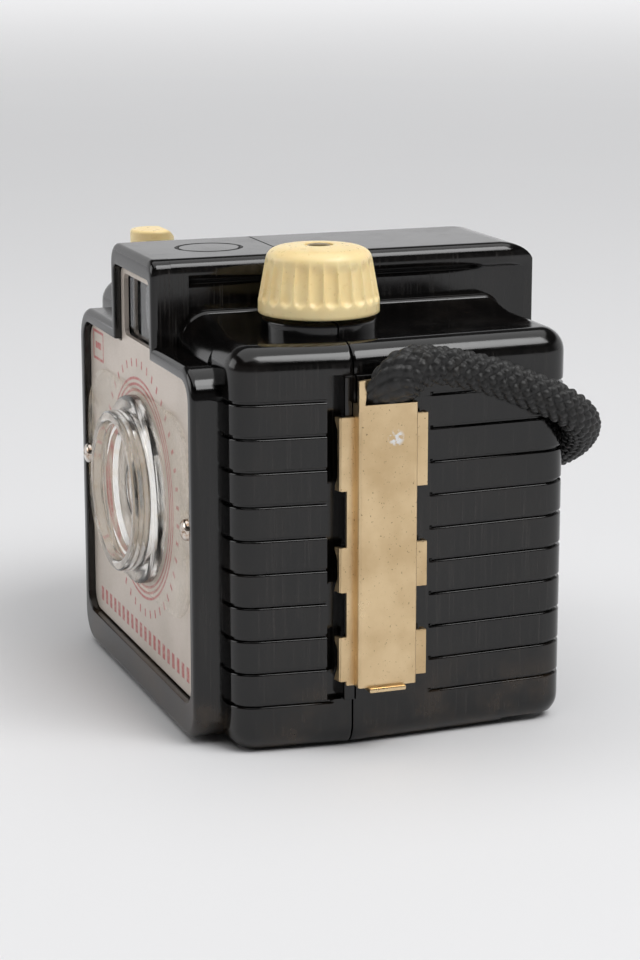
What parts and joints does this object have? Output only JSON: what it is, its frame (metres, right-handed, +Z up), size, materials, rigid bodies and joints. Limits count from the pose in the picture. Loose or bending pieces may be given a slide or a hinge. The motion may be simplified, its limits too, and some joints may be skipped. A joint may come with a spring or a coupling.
{
  "type": "box camera",
  "caption": "Moulded roll-film box camera with a clear stepped lens cover, eye-level viewfinder, fluted winding knob, sliding side catches and a cord.",
  "frame": {"origin": "middle of the bounding box at its lowest level, on the surface the camera stands on, measured without the carrying cord", "axes": "+Z up, +X across the camera towards the winding knob, -Y the way the lens looks"},
  "size_m": [0.0984, 0.0745, 0.0803],
  "materials": {
    "bakelite": "moulded black phenolic, glossy, fine vertical hairlines on the ribbed sides",
    "printed_metal": "satin lacquered sheet with thin red line print",
    "clear_plastic": "clear moulded plastic, slightly yellowed",
    "lens_glass": "polished",
    "chromed_screws": "worn chrome with a rusty rim",
    "steel_sheet": "plain sheet",
    "spring_steel": "drawn spring wire and strip",
    "black_enamel": "satin black enamel",
    "inner_moulding": "matt black moulding",
    "brass": "plain brass",
    "gilt_sheet": "gilt sheet metal, speckled and rubbed bright",
    "cream_plastic": "cream moulded plastic, satin gloss",
    "red_celluloid": "transparent red",
    "braided_cord": "round black braid"
  },
  "bodies": {
    "front_half": {"front_shell": "bakelite", "faceplate": "printed_metal", "lens_cover": "clear_plastic", "taking_lens": "lens_glass", "viewfinder_front_lens": "lens_glass", "lens_screw_right": "chromed_screws", "lens_screw_left": "chromed_screws", "lens_retaining_ring": "steel_sheet", "shutter_plate": "steel_sheet", "shutter_plate_screw_right": "steel_sheet", "shutter_plate_screw_left": "steel_sheet", "carrier_screw_upper": "steel_sheet", "carrier_screw_lower": "steel_sheet", "film_roller_right": "steel_sheet", "film_roller_left": "steel_sheet", "takeup_lower_pin": "steel_sheet", "supply_lower_pin": "steel_sheet", "supply_upper_pin": "steel_sheet", "shutter_spring": "spring_steel", "button_spring": "spring_steel", "supply_spring": "spring_steel", "pawl_spring": "spring_steel", "aperture_plate": "black_enamel", "film_carrier": "inner_moulding", "shutter_pivot_pin": "brass", "lever_pivot_pin": "brass"},
    "back_half": {"back_shell": "bakelite", "red_window": "red_celluloid", "red_window_ring": "black_enamel", "viewfinder_rear_lens": "lens_glass"},
    "right_catch": {"catch_right": "gilt_sheet", "strap_right": "braided_cord"},
    "left_catch": {"catch_left": "gilt_sheet", "strap_left": "braided_cord"},
    "winder": {"ratchet_wheel": "brass"},
    "knob": {"winding_knob": "cream_plastic", "winding_shaft": "steel_sheet", "knob_rivet": "brass"},
    "spool": {"takeup_spool": "black_enamel"},
    "button": {"shutter_button": "cream_plastic"},
    "lever": {"release_lever": "steel_sheet"},
    "shutter": {"shutter_disc": "black_enamel"}
  },
  "joints": [
    {"name": "back_release", "type": "slide", "parent": "front_half", "child": "back_half", "axis": [0, 1, 0], "range_m": [0, 0.045]},
    {"name": "catch_right_slide", "type": "slide", "parent": "back_half", "child": "right_catch", "axis": [0, 0, 1], "range_m": [0, 0.007]},
    {"name": "catch_left_slide", "type": "slide", "parent": "back_half", "child": "left_catch", "axis": [0, 0, 1], "range_m": [0, 0.007]},
    {"name": "knob_turn", "type": "hinge", "parent": "front_half", "child": "winder", "pos_m": [0.0252, -0.00795, 0.0596], "axis": [0, 0, 1], "continuous": true},
    {"name": "knob_pull", "type": "slide", "parent": "winder", "child": "knob", "axis": [0, 0, 1], "range_m": [0, 0.006]},
    {"name": "spool_turn", "type": "hinge", "parent": "front_half", "child": "spool", "pos_m": [0.0252, -0.00795, 0.03], "axis": [0, 0, 1], "continuous": true},
    {"name": "shutter_press", "type": "slide", "parent": "front_half", "child": "button", "axis": [0, 0, -1], "range_m": [0, 0.003], "stiffness_N_per_m": 600, "springref_m": -0.001, "deforming": ["button_spring"]},
    {"name": "lever_swing", "type": "hinge", "parent": "front_half", "child": "lever", "pos_m": [-0.012, -0.02165, 0.0442], "axis": [0, -1, 0], "range_deg": [0, 13.1]},
    {"name": "shutter_swing", "type": "hinge", "parent": "front_half", "child": "shutter", "pos_m": [0.0075, -0.0227, 0.027], "axis": [0, -1, 0], "range_deg": [0, 66.1]}
  ],
  "couplings": [
    {"joint": "spool_turn", "follows": "knob_turn", "ratio": 1},
    {"joint": "lever_swing", "follows": "shutter_press", "rad_per_m": 75.76},
    {"joint": "shutter_swing", "follows": "shutter_press", "rad_per_m": 383.97}
  ]
}
